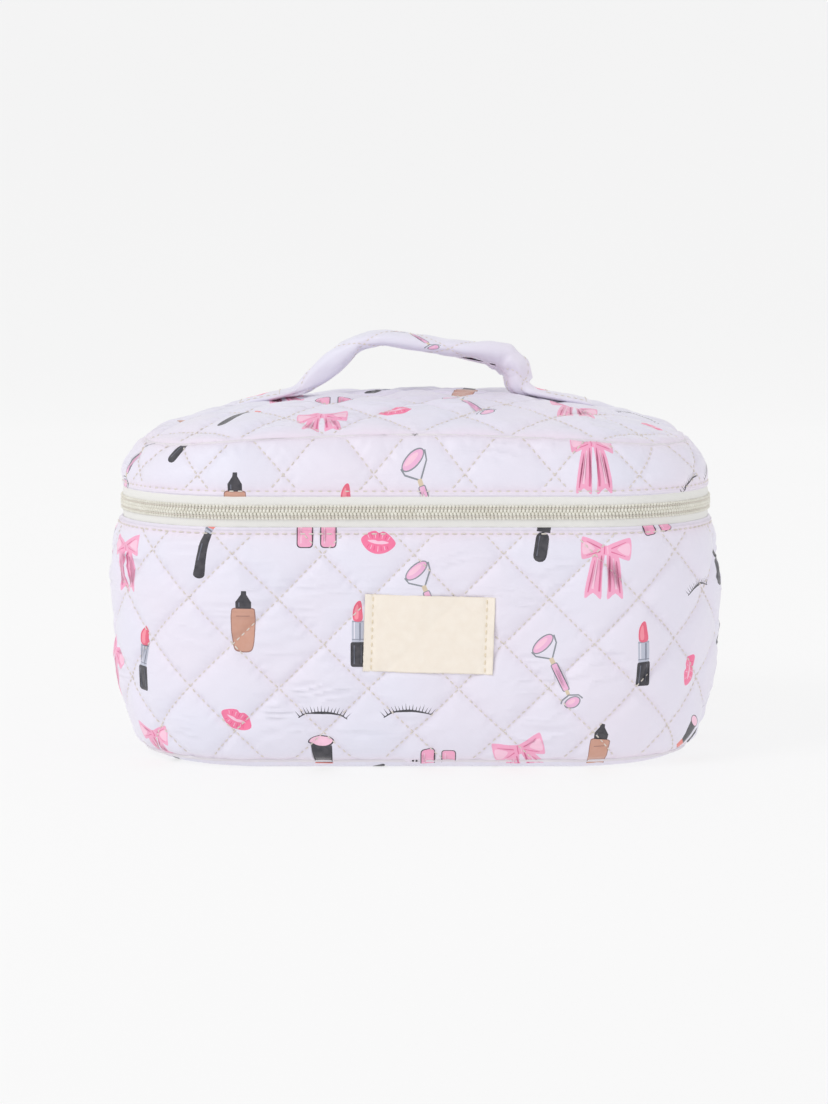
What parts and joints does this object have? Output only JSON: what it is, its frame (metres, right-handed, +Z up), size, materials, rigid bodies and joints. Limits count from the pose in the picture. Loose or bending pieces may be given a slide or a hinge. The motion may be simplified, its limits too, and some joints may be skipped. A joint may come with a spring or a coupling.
{
  "type": "makeup bag",
  "caption": "Soft quilted makeup bag with a domed lid, zip round the front and sides, fabric hinge, padded handle and sewn label.",
  "frame": {"origin": "centre of the base on the surface the bag stands on", "axes": "+X along the long side, -Y out of the front with the label, +Z up"},
  "size_m": [0.2446, 0.1561, 0.1727],
  "materials": {
    "printed_satin": "satin",
    "wadding": "matte",
    "lining": "matte",
    "binding": "matte",
    "zip_tape": "matte",
    "coil_nylon": "satin",
    "label_canvas": "matte",
    "cream_thread": "matte",
    "white_thread": "satin",
    "stiffener": "matte",
    "slider_metal": "satin"
  },
  "bodies": {
    "body": {"body_wall": "printed_satin", "body_wadding": "wadding", "body_lining": "lining", "base_panel": "printed_satin", "base_board": "stiffener", "base_wadding": "wadding", "base_lining": "lining", "base_binding": "binding", "lower_tape": "zip_tape", "lower_coil": "coil_nylon", "lower_zip_binding": "binding", "hinge_strip_lower": "printed_satin", "front_label": "label_canvas", "label_thread_left": "cream_thread", "label_thread_right": "cream_thread"},
    "lid": {"lid_strip": "printed_satin", "lid_strip_wadding": "wadding", "lid_strip_lining": "lining", "lid_top_panel": "printed_satin", "lid_top_wadding": "wadding", "lid_top_lining": "lining", "lid_seam_binding": "binding", "upper_tape": "zip_tape", "upper_coil": "coil_nylon", "upper_zip_binding": "binding", "hinge_strip_upper": "printed_satin", "handle_end_left": "printed_satin", "handle_end_right": "printed_satin", "handle_thread_left": "white_thread", "handle_thread_right": "white_thread"},
    "handle": {"handle_cover": "printed_satin", "handle_core": "wadding"},
    "slider": {"slider": "slider_metal"},
    "pull": {"pull_tab": "slider_metal"}
  },
  "joints": [
    {"name": "lid_hinge", "type": "hinge", "parent": "body", "child": "lid", "pos_m": [0, 0.0751, 0.103], "axis": [-1, 0, 0], "range_deg": [0, 110]},
    {"name": "handle_lean", "type": "hinge", "parent": "lid", "child": "handle", "pos_m": [0, 0, 0.1486], "axis": [1, 0, 0], "range_deg": [-45, 45], "stiffness_Nm_per_rad": 0.03},
    {"name": "slider_run", "type": "hinge", "parent": "body", "child": "slider", "pos_m": [0.065, 0.02, 0.103], "axis": [0, 0, 1], "range_deg": [-30, 5]},
    {"name": "pull_swing", "type": "hinge", "parent": "slider", "child": "pull", "pos_m": [0.11558, 0.0492, 0.103], "axis": [0.5, -0.866, 0], "range_deg": [0, 150]}
  ]
}
